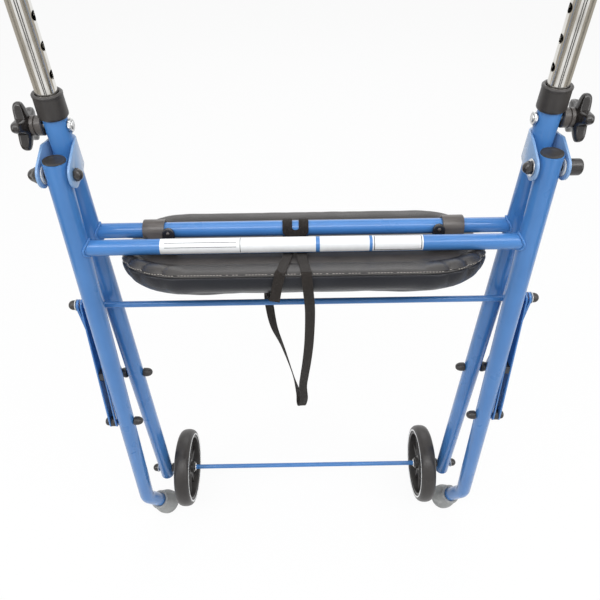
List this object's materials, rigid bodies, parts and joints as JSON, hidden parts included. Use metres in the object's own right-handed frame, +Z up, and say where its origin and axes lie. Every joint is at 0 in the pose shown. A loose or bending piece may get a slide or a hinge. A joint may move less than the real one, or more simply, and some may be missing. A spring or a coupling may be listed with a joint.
{
  "type": "folding walker",
  "caption": "Folding walking frame with front wheels, rubber-tipped rear legs, height-adjustable handles and a padded seat that flips over; standing folded.",
  "frame": {"origin": "bottom centre of the folded walker's box, on the floor plane that its wheels and rubber tips stand on", "axes": "+Z up, +Y forwards (the side of the wheels), +X to the user's right"},
  "size_m": [0.6484, 0.284, 1.09],
  "materials": {
    "blue_paint": "gloss powder coat",
    "chrome": "polished plate",
    "zinc": "bright zinc plate",
    "black_plastic": "satin moulded",
    "seat_board": "smooth satin sheet",
    "vinyl": "grained vinyl",
    "soft_grip": "soft matte",
    "tyre": "matte",
    "grey_rubber": "matte",
    "webbing": "woven tape"
  },
  "bodies": {
    "front_frame": {"front_leg_left": "blue_paint", "front_leg_right": "blue_paint", "front_leg_plug_left": "black_plastic", "front_leg_plug_right": "black_plastic", "front_cross_tube": "blue_paint", "tube_collar_left": "black_plastic", "tube_collar_right": "black_plastic", "adjust_nut_left": "zinc", "adjust_nut_right": "zinc", "hinge_bracket_left": "blue_paint", "hinge_bracket_right": "blue_paint", "hinge_bolt_left": "black_plastic", "hinge_bolt_right": "black_plastic", "front_stay_bolt_left": "black_plastic", "front_stay_bolt_right": "black_plastic", "axle_rod": "blue_paint", "axle_cap_left": "black_plastic", "axle_cap_right": "black_plastic", "axle_spacer_left": "black_plastic", "axle_spacer_right": "black_plastic", "axle_lock_washer_left": "zinc", "axle_lock_washer_right": "zinc", "tie_strap": "webbing"},
    "rear_frame": {"rear_leg_left": "blue_paint", "rear_leg_right": "blue_paint", "rear_leg_plug_left": "black_plastic", "rear_leg_plug_right": "black_plastic", "rear_cross_tube": "blue_paint", "foot_tip_left": "grey_rubber", "foot_tip_right": "grey_rubber", "rear_stay_bolt_left": "black_plastic", "rear_stay_bolt_right": "black_plastic"},
    "long_stays": {"long_stay_left": "blue_paint", "long_stay_right": "blue_paint", "stay_rod": "blue_paint"},
    "short_stays": {"short_stay_left": "blue_paint", "short_stay_right": "blue_paint", "stay_cap_left": "black_plastic", "stay_cap_right": "black_plastic"},
    "seat": {"seat_board": "seat_board", "seat_cushion": "vinyl", "seat_clip_left": "black_plastic", "seat_clip_right": "black_plastic", "clip_screw_left": "zinc", "clip_screw_right": "zinc"},
    "handle_left": {"handle_tube_left": "chrome", "grip_left": "soft_grip"},
    "handle_right": {"handle_tube_right": "chrome", "grip_right": "soft_grip"},
    "stud_left": {"lock_stud_left": "zinc"},
    "stud_right": {"lock_stud_right": "zinc"},
    "knob_left": {"star_knob_left": "black_plastic"},
    "knob_right": {"star_knob_right": "black_plastic"},
    "wheel_left": {"tyre_left": "tyre", "wheel_hub_left": "black_plastic"},
    "wheel_right": {"tyre_right": "tyre", "wheel_hub_right": "black_plastic"}
  },
  "joints": [
    {"name": "fold", "type": "hinge", "parent": "front_frame", "child": "rear_frame", "pos_m": [0, -0.01153, 0.80142], "axis": [-1, 0, 0], "range_deg": [0, 52], "deforming": ["tie_strap"]},
    {"name": "long_stay_hinge", "type": "hinge", "parent": "rear_frame", "child": "long_stays", "pos_m": [0, -0.01153, 0.35262], "axis": [-1, 0, 0], "range_deg": [0, 43]},
    {"name": "short_stay_hinge", "type": "hinge", "parent": "front_frame", "child": "short_stays", "pos_m": [0, 0.03844, 0.41482], "axis": [1, 0, 0], "range_deg": [0, 57]},
    {"name": "seat_flip", "type": "hinge", "parent": "front_frame", "child": "seat", "pos_m": [0, 0.0266, 0.70132], "axis": [1, 0, 0], "range_deg": [0, 182], "deforming": ["tie_strap"]},
    {"name": "handle_height_left", "type": "slide", "parent": "front_frame", "child": "handle_left", "axis": [0.0289, -0.0412, 0.9987], "range_m": [-0.054, 0.108]},
    {"name": "handle_height_right", "type": "slide", "parent": "front_frame", "child": "handle_right", "axis": [-0.0289, -0.0412, 0.9987], "range_m": [-0.054, 0.108]},
    {"name": "stud_pull_left", "type": "slide", "parent": "front_frame", "child": "stud_left", "axis": [-1, 0, 0], "range_m": [0, 0.035]},
    {"name": "stud_pull_right", "type": "slide", "parent": "front_frame", "child": "stud_right", "axis": [1, 0, 0], "range_m": [0, 0.035]},
    {"name": "knob_turn_left", "type": "hinge", "parent": "stud_left", "child": "knob_left", "pos_m": [-0.27384, 0.0208, 0.84192], "axis": [-1, 0, 0], "continuous": true},
    {"name": "knob_turn_right", "type": "hinge", "parent": "stud_right", "child": "knob_right", "pos_m": [0.27384, 0.0208, 0.84192], "axis": [1, 0, 0], "continuous": true},
    {"name": "wheel_spin_left", "type": "hinge", "parent": "front_frame", "child": "wheel_left", "pos_m": [-0.237, 0.05147, 0.09942], "axis": [-1, 0, 0], "continuous": true},
    {"name": "wheel_spin_right", "type": "hinge", "parent": "front_frame", "child": "wheel_right", "pos_m": [0.237, 0.05147, 0.09942], "axis": [1, 0, 0], "continuous": true}
  ],
  "couplings": [
    {"joint": "long_stay_hinge", "follows": "fold", "ratio": 0.8102},
    {"joint": "short_stay_hinge", "follows": "fold", "ratio": 1.0889}
  ]
}
